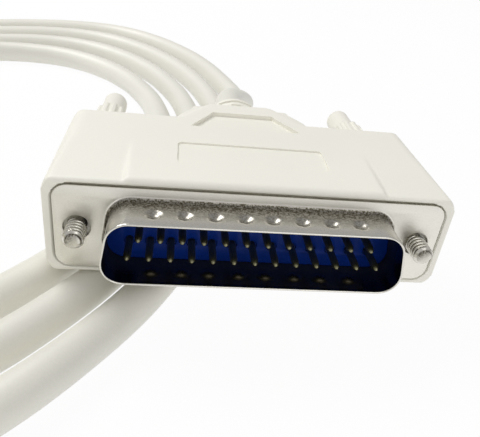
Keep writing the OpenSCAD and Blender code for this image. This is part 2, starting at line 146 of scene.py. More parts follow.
class ConnectorHoodSizes(bpy.types.PropertyGroup):
    color: a_color("Hood colour", "Colour of the moulded hood", (0.88, 0.86, 0.775))
    roughness: a_share("Hood roughness", "Roughness of the moulded hood", 0.5)
    grain: a_length("Mould grain", "Depth of the grain that the mould leaves on the hood", 0.01)
    voxel: a_length("Skin step", "Size of the steps that the hood's skin is made of", 0.28)
    softening: a_count("Softening", "How many times the hood's edges are smoothed", 3)
    neck_w: a_length("Neck width", "Width of the neck where it leaves the hood", 24)
    neck_end_w: a_length("Neck end width", "Width between the neck's sides at its rear face", 11.6)
    neck_start: a_length("Neck start", "Where the neck's slanted sides leave the hood", 22.5)
    neck_end: a_length("Neck end", "Where the neck's rear face is", 31.6)
    neck_h: a_length("Neck height", "Height of the neck", 15.2)
    neck_corner: a_length("Neck corner", "Bevel of the neck's two upright rear corners", 1.3)
    neck_edge: a_length("Neck edge", "Bevel of the neck's upper and lower edges", 1.5)
    relief_d: a_length("Relief diameter", "Diameter of the strain relief at the neck", 11.4)
    relief_end_d: a_length("Relief end", "Diameter of the strain relief at its tip", 7.2)
    relief_thick: a_length("Thick part", "Length of the relief that keeps its full thickness", 8)
    relief_core_d: a_length("Relief core", "Diameter of the relief inside its rings", 6.6)
    relief_rings: a_count("Rings", "Number of slots between the relief's rings", 5)
    relief_slot: a_length("Ring slot", "Width of one slot of the strain relief", 0.9)
    panel_w: a_length("Panel width", "Width of the bare label panel", 21.6)
    panel_start: a_length("Panel start", "Where the label panel's front edge is", 5.8)
    panel_end: a_length("Panel end", "Where the label panel's rear edge is", 12.6)
    panel_deep: a_length("Panel depth", "Depth of the bare label panel", 0.24)
    panel_r: a_length("Panel corner", "Radius of the label panel's corners", 0.8)
    rest_w: a_length("Thumb rest width", "Width of the thumb rest at its front", 17.6)
    rest_end_w: a_length("Thumb rest end", "Width of the thumb rest at its rear", 10.1)
    rest_start: a_length("Thumb rest start", "Where the thumb rest starts", 19.3)
    rest_end: a_length("Thumb rest rear", "Where the thumb rest ends", 26.2)
    rest_deep: a_length("Thumb rest depth", "Depth of the thumb rest at its front", 0.6)
    rest_end_deep: a_length("Thumb rest rear depth", "Depth of the thumb rest at its rear", 0.75)


class ConnectorMetalSizes(bpy.types.PropertyGroup):
    opening_w: a_length("Opening width", "Inside width of the shell across its wide side", 39.26)
    opening_h: a_length("Opening height", "Inside height of the shell", 8.66)
    corner_r: a_length("Corner radius", "Inside radius of the shell's corners", 2.75)
    slope: a_number("End slope", "Slope of the shell's ends in degrees", 10)
    sheet_t: a_length("Sheet thickness", "Thickness of the drawn sheet", 0.3)
    bend_r: a_length("Bend radius", "Radius of the bend between shell and flange", 0.6)
    flange_r: a_length("Flange corner", "Radius of the flange's corners", 2)
    hole_d: a_length("Flange hole", "Diameter of the flange's screw holes", 3.6)
    indents: a_count("Indents", "Indents on each long side", 8)
    indent_pitch: a_length("Indent pitch", "Distance from one indent to the next", 3.84)
    indent_d: a_length("Indent width", "Width of one pressed-in indent", 2.1)
    indent_deep: a_length("Indent depth", "Depth of one pressed-in indent", 0.5)
    indent_y: a_length("Indent place", "Distance of the indents in front of the flange", 3.42)
    # The next three set the darker colour at the bend and in the indents: painted shade, mixed with
    # dull plating at the bend
    worn: a_share("Worn plating", "How dull the plating is where the shell bends out of its flange", 1)
    wear_and_shade_l: a_length("Worn length", "How far in front of the flange the dull plating reaches", 4.6)
    wear_and_shade_color: a_color("Worn colour", "Colour of the plating where it is dull", (0.07, 0.057, 0.034))
    shell_color: a_color("Shell colour", "Colour of the tinned shell", (0.73, 0.71, 0.655))
    screw_color: a_color("Screw colour", "Colour of the plated screws", (0.7, 0.68, 0.62))
    # The contacts' colour is dark olive metal, darkened as painted shade for the inside of the shell
    contact_color: a_color("Contact colour", "Colour of the contacts", (0.27, 0.26, 0.16))


class ConnectorScrewSizes(bpy.types.PropertyGroup):
    thread_d: a_length("Thread diameter", "Outer diameter of the screw's thread", 2.84)
    thread_pitch: a_length("Thread pitch", "Distance from one turn of the thread to the next", 0.635)
    thread_deep: a_length("Thread depth", "Depth of the thread", 0.34)
    shank_d: a_length("Shank diameter", "Diameter of the screw's plain shank", 2.2)
    head_voxel: a_length("Grip step", "Size of the steps that a thumb head's skin is made of", 0.15)


class ConnectorContactSizes(bpy.types.PropertyGroup):
    pin_d: a_length("Pin diameter", "Diameter of a contact's pin", 1.02)
    tip_l: a_length("Tip length", "Length of the pin's rounded tip", 1.3)
    shoulder_y: a_length("Shoulder place", "Where the pin's thick middle starts behind the flange", 0.9)


class ConnectorInsulatorSizes(bpy.types.PropertyGroup):
    collar_out: a_length("Collar wall", "Wall of insulator around the shell's opening", 0.7)
    gap: a_length("Insulator gap", "Gap around the insulator in its shell", 0.05)
    well_d: a_length("Well diameter", "Diameter of the well around each pin", 1.5)
    well_deep: a_length("Well depth", "Depth of the well around each pin", 0.3)
    color: a_color("Insulator colour", "Colour of the insulator", (0.001, 0.026, 0.23))


class ConnectorStageSizes(bpy.types.PropertyGroup):
    lens: a_number("Lens", "Focal length of the camera in millimetres", 40.8)
    sky: a_number("Sky strength", "Strength of the sky's light from behind and above", 0.45)
    front: a_number("Front strength", "Strength of the sky's light from the front", 0.63)
    bounce: a_share("Floor bounce", "Share of the floor that gives its own white light", 0.65)
    paper: a_share("Floor white", "Share of plain white in the floor that the camera sees", 0.95)


GROUPS = {
    "connector_lead": ConnectorLeadSizes,
    "connector_hood": ConnectorHoodSizes,
    "connector_metal": ConnectorMetalSizes,
    "connector_screw": ConnectorScrewSizes,
    "connector_contact": ConnectorContactSizes,
    "connector_insulator": ConnectorInsulatorSizes,
    "connector_stage": ConnectorStageSizes,
}


# ---- tools of the trade ----

def pick(piece):
    bpy.ops.object.select_all(action="DESELECT")
    piece.select_set(True)
    bpy.context.view_layer.objects.active = piece


def apply_place(piece):
    pick(piece)
    bpy.ops.object.transform_apply(location=True, rotation=True, scale=True)


def give(mesh, *finishes):
    """Gives a mesh the materials of these names, in this order."""
    mesh.materials.clear()
    for finish in finishes:
        mesh.materials.append(bpy.data.materials[finish])


def put_on(piece, body, slot, finish, *nodes):
    """Gives a finished piece its material and its body, and hides the solids that it stands for. Its
    slot is not used.
    """
    give(piece.data, finish)
    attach(piece, body)
    if nodes:
        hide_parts(*nodes)


# ---- modelling by hand ----

def new_object(name, data):
    """Puts new data into the scene as an object."""
    piece = bpy.data.objects.new(name, data)
    bpy.context.scene.collection.objects.link(piece)
    return piece


def own_copy(piece):
    """A copy of an object with its own data."""
    twin = piece.copy()
    twin.data = piece.data.copy()
    bpy.context.scene.collection.objects.link(twin)
    return twin


def new_piece(name):
    """Names the object that an operator has just added, with its place taken into its mesh."""
    piece = bpy.context.object
    piece.name = name
    apply_place(piece)
    return piece


def pick_by(kind):
    """In edit mode, picks by VERT, EDGE or FACE from here on."""
    bpy.ops.mesh.select_mode(type=kind)


def edit(piece, kind="FACE"):
    pick(piece)
    bpy.ops.object.mode_set(mode="EDIT")
    pick_by(kind)


def leave_edit():
    bpy.ops.object.mode_set(mode="OBJECT")


def take_all():
    bpy.ops.mesh.select_all(action="SELECT")


def turn_outwards():
    """In edit mode, makes every face of a closed shape point outwards."""
    take_all()
    bpy.ops.mesh.normals_make_consistent(inside=False)


def choose(piece, kind, test):
    """In edit mode, selects the points, edges or faces that pass a test."""
    bpy.ops.mesh.select_all(action="DESELECT")
    shape = bmesh.from_edit_mesh(piece.data)
    for item in getattr(shape, kind):
        if test(item):
            item.select_set(True)
    shape.select_flush_mode()
    bmesh.update_edit_mesh(piece.data)


def step_in(thickness, depth):
    bpy.ops.mesh.inset(thickness=thickness, depth=depth, use_even_offset=True)


def push(vector):
    bpy.ops.mesh.extrude_region_move(TRANSFORM_OT_translate={"value": vector})


def apply_modifier(piece, kind, **settings):
    pick(piece)
    modifier = piece.modifiers.new(kind.title(), kind)
    for label, value in settings.items():
        setattr(modifier, label, value)
    bpy.ops.object.modifier_apply(modifier=modifier.name)


def cut(piece, tool, solver="EXACT"):
    """Takes a tool's shape out of a piece and deletes the tool."""
    apply_modifier(piece, "BOOLEAN", operation="DIFFERENCE", object=tool, solver=solver)
    bpy.data.objects.remove(tool)


def join(piece, *others):
    pick(piece)
    for other in others:
        other.select_set(True)
    bpy.ops.object.join()
    return piece


def smooth(piece, angle):
    pick(piece)
    bpy.ops.object.shade_smooth_by_angle(angle=math.radians(angle))


def merged_copy(node, name):
    """A copy of a CAD solid's mesh with its loose triangles merged into one skin."""
    piece = new_object(name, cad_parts[node].data.copy())
    edit(piece, "VERT")
    take_all()
    bpy.ops.mesh.remove_doubles(threshold=WELD)
    leave_edit()
    return piece


def moved_copy(piece, name, shift):
    """A copy with its own mesh, moved by a distance."""
    twin = own_copy(piece)
    twin.name = name
    twin.location = shift
    apply_place(twin)
    return twin


def look_ahead(piece):
    """In edit mode, turns a single selected face so that it looks out of the mating side."""
    if next(iter(bmesh.from_edit_mesh(piece.data).faces)).normal.y > 0:
        bpy.ops.mesh.flip_normals()


def put_both(piece, slot, finish, *nodes):
    """Finishes a piece of the near connector, and a copy of it on the far one."""
    twin = moved_copy(piece, "far_" + piece.name, FAR_SHIFT)
    put_on(piece, ROOT, slot, finish, *nodes)
    put_on(twin, ROOT, slot, finish, *("far_" + node for node in nodes))
    return piece, twin


def d_face(name, grow, y):
    """A flat D facing -Y, wide side down, with round corners and fine steps along its long sides."""
    sizes = bpy.context.scene.connector_metal
    slope = math.radians(sizes.slope)
    half_w, half_h = sizes.opening_w / 2 + grow, sizes.opening_h / 2 + grow
    radius = sizes.corner_r + grow
    low_x = half_w - radius + radius * (1 + math.sin(slope)) / math.cos(slope)
    high_x = (half_w - radius - 2 * (half_h - radius) * math.tan(slope)
              + radius * (1 - math.sin(slope)) / math.cos(slope))
    bpy.ops.mesh.primitive_plane_add(size=2, location=(0, y, 0), rotation=(math.pi / 2, 0, 0))
    bpy.context.object.scale = (low_x, half_h, 1)
    piece = new_piece(name)
    edit(piece, "VERT")
    choose(piece, "verts", lambda v: v.co.z > 0)
    bpy.ops.transform.resize(value=(high_x / low_x, 1, 1), center_override=(0, y, 0))
    edge_x, edge_z = high_x * NEARLY, half_h * NEARLY
    for sign, angle in ((-1, math.pi / 2 - slope), (1, math.pi / 2 + slope)):
        choose(piece, "verts", lambda v: sign * v.co.z > edge_z and abs(v.co.x) > edge_x)
        bpy.ops.mesh.bevel(affect="VERTICES", offset_type="OFFSET", offset=radius / math.tan(angle / 2),
                           segments=CORNER_STEPS)
    pick_by("FACE")
    take_all()
    bpy.ops.mesh.delete(type="ONLY_FACE")
    pick_by("EDGE")
    choose(piece, "edges", lambda e: e.calc_length() > half_w)
    bpy.ops.mesh.subdivide(number_cuts=FINE_CUTS)
    take_all()
    bpy.ops.mesh.edge_face_add()
    pick_by("FACE")
    take_all()
    look_ahead(piece)
    return piece


# ---- shader groups ----

# The part of a noise that a pattern spreads over, and what it spreads to
CLOUD_BAND = 0.35, 0.65
GRAIN_BAND, GRAIN_LIGHT = (0.3, 0.7), (0.985, 1.015)
SPECK_BAND = 0.42, 0.62
# The last two place the speckled darker colour of the piece's mark, which is painted shade with dull
# plating
WEAR_AND_SHADE_BAND, WEAR_AND_SHADE_SHARE = (0.4, 0.58), (0.6, 1)
STREAK_SCALE = 40, 900, 900


def new_group(name, inputs):
    """A shader group with named inputs, which puts out a colour, a roughness and a grain."""
    group = bpy.data.node_groups.new(name, "ShaderNodeTree")
    for label, value in inputs.items():
        kind = "NodeSocketColor" if isinstance(value, tuple) else "NodeSocketFloat"
        socket = group.interface.new_socket(label, in_out="INPUT", socket_type=kind)
        socket.default_value = value
    for label, kind in (("Color", "NodeSocketColor"), ("Roughness", "NodeSocketFloat"),
                        ("Grain", "NodeSocketFloat")):
        group.interface.new_socket(label, in_out="OUTPUT", socket_type=kind)
    return group, group.nodes.new("NodeGroupInput").outputs


def put_out(group, color, rough, grain):
    """Links a group's results to its outputs."""
    outside = group.nodes.new("NodeGroupOutput")
    for label, value in (("Color", color), ("Roughness", rough), ("Grain", grain)):
        group.links.new(value, outside.inputs[label])
    return group


def feed(tree, value, socket):
    """Sets a socket to a number, or links another socket to it."""
    if isinstance(value, (int, float)):
        socket.default_value = value
    else:
        tree.links.new(value, socket)


def noise(tree, where, scale, detail, rough=0.5):
    node = tree.nodes.new("ShaderNodeTexNoise")
    for label, value in (("Vector", where), ("Scale", scale), ("Detail", detail), ("Roughness", rough)):
        feed(tree, value, node.inputs[label])
    return node.outputs["Fac"]


def math_node(tree, operation, a, b, clamp=False):
    node = tree.nodes.new("ShaderNodeMath")
    node.operation = operation
    node.use_clamp = clamp
    feed(tree, a, node.inputs[0])
    feed(tree, b, node.inputs[1])
    return node.outputs["Value"]


def swing(tree, value, strength):
    """Turns a noise around one half into one around nothing, and scales it."""
    return math_node(tree, "MULTIPLY", math_node(tree, "SUBTRACT", value, 0.5), strength)


def remap(tree, value, low, high, to_low, to_high):
    node = tree.nodes.new("ShaderNodeMapRange")
    for label, amount in (("Value", value), ("From Min", low), ("From Max", high),
                          ("To Min", to_low), ("To Max", to_high)):
        feed(tree, amount, node.inputs[label])
    return node.outputs["Result"]


def mix_color(tree, share, a, b):
    node = tree.nodes.new("ShaderNodeMix")
    node.data_type = "RGBA"
    factor = next(s for s in node.inputs if s.name == "Factor" and s.type == "VALUE")
    colors = [s for s in node.inputs if s.name in ("A", "B") and s.type == "RGBA"]
    for socket, value in zip((factor, *colors), (share, a, b)):
        tree.links.new(value, socket)
    return next(s for s in node.outputs if s.type == "RGBA")


def moulded_group():
    """Cloudy colour, uneven gloss and the fine grain of a moulded plastic."""
    group, given = new_group("Moulded plastic", {
        "Color": (0.8, 0.8, 0.7, 1), "Tint": (0.7, 0.7, 0.6, 1), "Cloud Scale": 60, "Grain Scale": 4000,
        "Roughness": 0.5, "Uneven": 0.08})
    place = group.nodes.new("ShaderNodeTexCoord").outputs["Object"]
    cloud = noise(group, place, given["Cloud Scale"], 3)
    grain = noise(group, place, given["Grain Scale"], 2)
    tinted = mix_color(group, remap(group, cloud, *CLOUD_BAND, 0, 1), given["Color"], given["Tint"])
    color = group.nodes.new("ShaderNodeVectorMath")
    color.operation = "SCALE"
    group.links.new(tinted, color.inputs[0])
    group.links.new(remap(group, grain, *GRAIN_BAND, *GRAIN_LIGHT), color.inputs["Scale"])
    rough = math_node(group, "ADD", given["Roughness"], swing(group, cloud, given["Uneven"]))
    rough = math_node(group, "ADD", rough, swing(group, grain, 0.1), clamp=True)
    return put_out(group, color.outputs["Vector"], rough, grain)


def plated_group():
    """Drawn and plated sheet: faint streaks along X, specks of dull plating, and a darker colour where
    the piece is marked: painted shade with dull plating at the shell's bend, painted shade in its
    indents, and the screws' thread valleys.
    """
    group, given = new_group("Plated metal", {
        "Color": (0.7, 0.7, 0.68, 1), "Dull": (0.2, 0.17, 0.11, 1), "Speck Scale": 4200, "Specks": 0.1,
        "Worn": 0, "Roughness": 0.25, "Streaks": 0.1})
    place = group.nodes.new("ShaderNodeTexCoord").outputs["Object"]
    stretch = group.nodes.new("ShaderNodeMapping")
    stretch.inputs["Scale"].default_value = STREAK_SCALE
    group.links.new(place, stretch.inputs["Vector"])
    streak = noise(group, stretch.outputs["Vector"], 1, 4, 0.6)
    speck = noise(group, place, given["Speck Scale"], 3, 0.6)
    specks = math_node(group, "MULTIPLY", remap(group, speck, *SPECK_BAND, 0, 1), given["Specks"])
    # Share of the darker colour from the piece's mark: painted shade, mixed with dull plating at the
    # shell's bend
    dull = math_node(group, "MULTIPLY", remap(group, speck, *WEAR_AND_SHADE_BAND, *WEAR_AND_SHADE_SHARE), given["Worn"])
    share = math_node(group, "MAXIMUM", specks, dull, clamp=True)
    color = mix_color(group, share, given["Color"], given["Dull"])
    uneven = math_node(group, "ADD", swing(group, streak, given["Streaks"]),
                       math_node(group, "MULTIPLY", share, 0.2))
    rough = math_node(group, "ADD", given["Roughness"], uneven, clamp=True)
    grain = math_node(group, "ADD", math_node(group, "MULTIPLY", streak, 0.5), speck)
    return put_out(group, color, rough, grain)


def new_material(name, group, values, bump, **shader):
    """A material whose colour, roughness and bump come from a group, and the rest from its shader."""
    material = bpy.data.materials.new(name)
    material.use_nodes = True
    tree = material.node_tree
    principled = tree.nodes["Principled BSDF"]
    effect = tree.nodes.new("ShaderNodeGroup")
    effect.node_tree = group
    for label, value in values.items():
        effect.inputs[label].default_value = value
    for label, value in shader.items():
        principled.inputs[label.replace("_", " ")].default_value = value
    tree.links.new(effect.outputs["Color"], principled.inputs["Base Color"])
    tree.links.new(effect.outputs["Roughness"], principled.inputs["Roughness"])
    relief = tree.nodes.new("ShaderNodeBump")
    relief.inputs["Distance"].default_value = bump
    relief.inputs["Strength"].default_value = 1
    tree.links.new(effect.outputs["Grain"], relief.inputs["Height"])
    tree.links.new(relief.outputs["Normal"], principled.inputs["Normal"])
    # Reads the piece's mark of darker colour: painted shade with dull plating on the shell, and the
    # screws' thread valleys
    if "Worn" in effect.inputs:
        worn = tree.nodes.new("ShaderNodeAttribute")
        worn.attribute_name = "worn"
        tree.links.new(worn.outputs["Fac"], effect.inputs["Worn"])


def shade(color, share=1):
    """A share of a colour, with its alpha."""
    return (*(part * share for part in color), 1)


# ---- operators ----

class CONNECTOR_OT_finishes(bpy.types.Operator):
    """Makes the materials and lays them on the solids that keep their shape"""
    bl_idname = "connector.finishes"
    bl_label = "Finishes"

    def execute(self, context):
        scene = context.scene
        hood, lead = scene.connector_hood, scene.connector_lead
        metal, insulator = scene.connector_metal, scene.connector_insulator
        moulded, plated = moulded_group(), plated_group()
        new_material("Moulded hood", moulded, {
            "Color": shade(hood.color), "Tint": shade(hood.color, 0.97),
            "Roughness": hood.roughness, "Cloud Scale": 45, "Grain Scale": 5200}, bump=hood.grain)
        new_material("Moulded thumb grip", moulded, {
            "Color": shade(hood.color, 0.99), "Tint": shade(hood.color, 0.95),
            "Roughness": 0.45}, bump=0.006 * MM)
        new_material("Lead sheath", moulded, {
            "Color": shade(lead.color), "Tint": shade(lead.color, 0.95),
            "Roughness": lead.roughness, "Cloud Scale": 30, "Grain Scale": 3000}, bump=0.01 * MM)
        new_material("Blue insulator", moulded, {
            "Color": shade(insulator.color), "Tint": shade(insulator.color, 0.8), "Roughness": 0.4,
            "Cloud Scale": 200, "Grain Scale": 4000}, bump=0.006 * MM, Specular_IOR_Level=0.15)
        # The darker colour here is painted shade at the shell's bend and in its indents, mixed with
        # dull plating and specks
        new_material("Tinned sheet", plated, {
            "Color": shade(metal.shell_color), "Dull": shade(metal.wear_and_shade_color), "Roughness": 0.2,
            "Specks": 0.06}, bump=0.0015 * MM, Metallic=1)
        # Painted light: the flange gets a brighter copy of the shell colour, with a rougher satin
        # finish
        new_material("Satin flange", plated, {
            "Color": shade(metal.shell_color, 1.14), "Roughness": 0.46,
            "Specks": 0.05}, bump=0.001 * MM, Metallic=1)
        # Painted shade: the inside of the shell's wall gets a nearly black copy of the shell colour
        new_material("Inner plating", plated, {
            "Color": shade(metal.shell_color, 0.12), "Roughness": 0.22,
            "Specks": 0.1}, bump=0.001 * MM, Metallic=1)
        new_material("Plated screw", plated, {
            "Color": shade(metal.screw_color), "Dull": shade(metal.wear_and_shade_color, 0.8),
            "Roughness": 0.2, "Specks": 0.08}, bump=0.001 * MM, Metallic=1)
        # Painted shade: the contacts' dark colour stands for the shade inside the shell, over their
        # olive tint
        new_material("Turned contact", plated, {
            "Color": shade(metal.contact_color), "Dull": shade(metal.contact_color, 0.5),
            "Roughness": 0.34, "Specks": 0.35}, bump=0.001 * MM, Metallic=1)
        for node, finish in (("rear_shell", "Tinned sheet"), ("ferrule", "Tinned sheet"),
                             ("rear_insulator", "Blue insulator"), ("lead_end", "Lead sheath")):
            give(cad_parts[node].data, finish)
            give(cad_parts["far_" + node].data, finish)
        return {"FINISHED"}


def oval_point(turn, angle):
    """A point of the coil in millimetres, on the oval that a turn of the lead has reached."""
    a = math.radians(angle)
    lean, egg = math.radians(2 * (angle - OVAL_TILT)), math.radians(3 * (angle + EGG_TILT))
    stretch, pointed = OVAL_STRETCH + OVAL_GROWTH * turn, EGG_GROWTH * turn
    out = COIL_R + COIL_PITCH * turn + stretch * math.cos(lean) + pointed * math.cos(egg)
    along = -2 * stretch * math.sin(lean) - 3 * pointed * math.sin(egg)
    return (COIL_X + turn + out * math.cos(a) - along * math.sin(a),
            COIL_Y + 2 * turn + out * math.sin(a) + along * math.cos(a))


def lead_points():
    """The points that the lead follows, with its coil wound inwards between the two ends."""
    coil = []
    for angle in range(COIL_START, COIL_END + 1, COIL_STEP):
        x, y = oval_point(OUTER_TURN - (angle - OUTER_ANGLE) / 360, angle)
        coil.append((x, y, FLOOR_Z / MM + COIL_LIFT))
    return [Vector(p) * MM for p in LEAD_ROUTE + coil + TAIL_ROUTE]


def curve_length(curve):
    """Length of a curve's own line, measured on its evaluated points."""
    bare = own_copy(curve)
    bare.data.bevel_depth = 0
    bpy.context.view_layer.update()
    line = bare.evaluated_get(bpy.context.evaluated_depsgraph_get()).to_mesh()
    ends = [[line.vertices[index].co for index in edge.vertices] for edge in line.edges]
    length = sum((first - last).length for first, last in ends)
    bpy.data.objects.remove(bare)
    return length


class CONNECTOR_OT_lead(bpy.types.Operator):
    """Lays the lead in its loose coil from one connector to the other"""
    bl_idname = "connector.lead"
    bl_label = "Lead"

    def execute(self, context):
        sizes = context.scene.connector_lead
        line = bpy.data.curves.new("lead_sheath", "CURVE")
        line.dimensions = "3D"
        line.resolution_u = 8
        line.bevel_depth = sizes.diameter / 2
        line.bevel_resolution = 6
        line.use_fill_caps = True
        spline = line.splines.new("BEZIER")
        points = lead_points()
        spline.bezier_points.add(len(points) - 1)
        for knot, point in zip(spline.bezier_points, points):
            knot.co = point
            knot.handle_left_type = knot.handle_right_type = "AUTO"
        piece = new_object("lead_sheath", line)
        context.view_layer.update()
        for knot in spline.bezier_points:
            ends = knot.handle_left.copy(), knot.handle_right.copy()
            knot.handle_left_type = knot.handle_right_type = "FREE"
            for end in ends:
                end.z = max(end.z, FLOOR_Z + sizes.diameter / 2)
            knot.handle_left, knot.handle_right = ends
        put_on(piece, ROOT, "lead_sheath", "Lead sheath", "lead", "lead_coil", "lead_tail")
        curve_length(piece)
        return {"FINISHED"}


def new_block(name, low, high):
    """A block between two corners, as a start for a piece of the moulding."""
    bpy.ops.mesh.primitive_cube_add(size=1, location=(Vector(low) + Vector(high)) / 2)
    bpy.context.object.scale = Vector(high) - Vector(low)
    return new_piece(name)


def widen(factor, y):
    """Grows or shrinks what is selected across the lead's axis."""
    bpy.ops.transform.resize(value=(factor, 1, factor), center_override=(0, y, 0))


def rise(edge):
    """How far an edge climbs from one of its ends to the other."""
    return abs(edge.verts[0].co.z - edge.verts[1].co.z)


def neck_block(sizes):
    """The neck: it starts inside the hood and narrows to the rear, with round corners and edges."""
    inside = (sizes.neck_end - sizes.neck_start) / 2
    start_w = sizes.neck_w + (sizes.neck_w - sizes.neck_end_w) / 2
    neck = new_block("neck", (-start_w / 2, sizes.neck_start - inside, -sizes.neck_h / 2),
                     (start_w / 2, sizes.neck_end, sizes.neck_h / 2))
    edit(neck, "VERT")

    def is_rear(point):
        return point.co.y > sizes.neck_start

    choose(neck, "verts", is_rear)
    bpy.ops.transform.resize(value=(sizes.neck_end_w / start_w, 1, 1), center_override=(0, 0, 0))
    pick_by("EDGE")
    choose(neck, "edges", lambda e: rise(e) > MM and all(map(is_rear, e.verts)))
    bpy.ops.mesh.bevel(offset=sizes.neck_corner, segments=6)
    choose(neck, "edges", lambda e: rise(e) < SHALLOW and any(map(is_rear, e.verts)))
    bpy.ops.mesh.bevel(offset=sizes.neck_edge, segments=5)
    leave_edit()
    return neck


def relief_sleeve(sizes, start, end):
    """The strain relief: a thick sleeve that tapers to its tip, with slots between its rings."""
    knee = sizes.neck_end + sizes.relief_thick
    first, last = sizes.neck_end + 2 * MM, end - MM
    pitch = (last - first) / sizes.relief_rings

    def width(y):
        past = max(0, (y - knee) / (end - knee))
        return sizes.relief_d + (sizes.relief_end_d - sizes.relief_d) * past

    spots = [(start, width(start))]
    for number in range(sizes.relief_rings):
        front = first + number * pitch
        rear = front + sizes.relief_slot
        spots += [(front, width(front)), (front, sizes.relief_core_d), (rear, sizes.relief_core_d),
                  (rear, width(rear))]
        if rear < knee < front + pitch:
            spots.append((knee, width(knee)))
    spots.append((end, sizes.relief_end_d))
    bpy.ops.mesh.primitive_circle_add(
        vertices=ROUND_STEPS, radius=sizes.relief_d / 2, fill_type="NGON",
        location=(0, start, 0), rotation=(-math.pi / 2, 0, 0))
    sleeve = new_piece("relief")
    edit(sleeve)
    take_all()
    for (y, wide), (next_y, next_wide) in zip(spots, spots[1:]):
        push((0, next_y - y, 0))
        widen(next_wide / wide, next_y)
    turn_outwards()
    leave_edit()
    return sleeve


def pocket(piece, name, front, rear, front_w, rear_w, front_deep, rear_deep, corner=0):
    """Cuts a shallow pocket with a level or sloping floor into the hood's top."""
    top, middle = HOOD_HIGH.z, (front + rear) / 2
    tool = new_block(name, (-front_w / 2, front, top - front_deep), (front_w / 2, rear, top + MM))
    edit(tool, "VERT")
    choose(tool, "verts", lambda v: v.co.y > middle)
    bpy.ops.transform.resize(value=(rear_w / front_w, 1, 1), center_override=(0, 0, 0))
    choose(tool, "verts", lambda v: v.co.y > middle and v.co.z < top)
    bpy.ops.transform.translate(value=(0, 0, front_deep - rear_deep))
    if corner:
        pick_by("EDGE")
        choose(tool, "edges", lambda e: rise(e) > MM)
        bpy.ops.mesh.bevel(offset=corner, segments=6)
    leave_edit()
    cut(piece, tool, "MANIFOLD")


class CONNECTOR_OT_hood(bpy.types.Operator):
    """Moulds each hood as one piece with its neck, strain relief, label panel and thumb rest"""
    bl_idname = "connector.hood"
    bl_label = "Hoods"

    def execute(self, context):
        sizes = context.scene.connector_hood
        hood = merged_copy("hood", "moulded_hood")
        core_low, core_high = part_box("inner_mould")
        spread, top_front = sizes.voxel, 1.4 * MM
        core = new_block("core", (core_low.x - spread, SHEET_BACK + 2 * spread, core_low.z - spread),
                         (core_high.x + spread, core_high.y + 2 * spread, core_high.z + spread))
        top = new_block("top", (-sizes.panel_w / 2 - MM, top_front, core_high.z - MM),
                        (sizes.panel_w / 2 + MM, sizes.neck_start, HOOD_HIGH.z))
        join(hood, core, top, neck_block(sizes), relief_sleeve(sizes, core_high.y, HOOD_HIGH.y))
        apply_modifier(hood, "REMESH", mode="VOXEL", voxel_size=sizes.voxel, use_smooth_shade=True)
        apply_modifier(hood, "SMOOTH", factor=0.5, iterations=sizes.softening)
        pocket(hood, "label panel", sizes.panel_start, sizes.panel_end, sizes.panel_w, sizes.panel_w,
               sizes.panel_deep, sizes.panel_deep, sizes.panel_r)
        pocket(hood, "thumb rest", sizes.rest_start, sizes.rest_end, sizes.rest_w, sizes.rest_end_w,
               sizes.rest_deep, sizes.rest_end_deep)
        smooth(hood, 38)
        put_both(hood, "mould", "Moulded hood", "hood", "inner_mould")
        return {"FINISHED"}


def arc(whole):
    """The angles that part a bend into even steps."""
    return [math.radians(whole * k / BEND_STEPS) for k in range(BEND_STEPS + 1)]


def push_far(way):
    """Pushes the selected faces along Y in even steps of about one grid width."""
    steps = round(abs(way) / GRID)
    for _ in range(steps):
        push((0, way / steps, 0))


def cup_wall(sizes, reach):
    """The drawn wall: out of its bend, along to the rim, around it and back on the inside."""
    bend, rim = sizes.bend_r, sizes.sheet_t / 2
    wall = d_face("front_cup_skin", sizes.sheet_t + bend, 0)
    turns = arc(90)
    for a, b in zip(turns, turns[1:]):
        step_in(bend * (math.sin(b) - math.sin(a)), bend * (math.cos(a) - math.cos(b)))
    push_far(-(reach - rim - bend))
    turns = arc(180)
    for a, b in zip(turns, turns[1:]):
        step_in(rim * (math.cos(a) - math.cos(b)), rim * (math.sin(b) - math.sin(a)))
    push_far(reach - rim)
    bpy.ops.mesh.delete(type="FACE")
    return wall


def press_indents(wall, sizes):
    """In edit mode, presses the round indents into both long sides, through both skins of the wall."""
    pick_by("VERT")
    for side in (-1, 1):
        for number in range(sizes.indents):
            x = (number - (sizes.indents - 1) / 2) * sizes.indent_pitch
            for z in (sizes.opening_h / 2, sizes.opening_h / 2 + sizes.sheet_t):
                spot = Vector((x, -sizes.indent_y, side * z))
                nearest = min(bmesh.from_edit_mesh(wall.data).verts,
                              key=lambda v: (v.co - spot).length_squared).index
                choose(wall, "verts", lambda v: v.index == nearest)
                bpy.ops.transform.translate(
                    value=(0, 0, -side * sizes.indent_deep), use_proportional_edit=True,
                    use_proportional_connected=True, proportional_edit_falloff="INVERSE_SQUARE",
                    proportional_size=sizes.indent_d / 2)
    leave_edit()


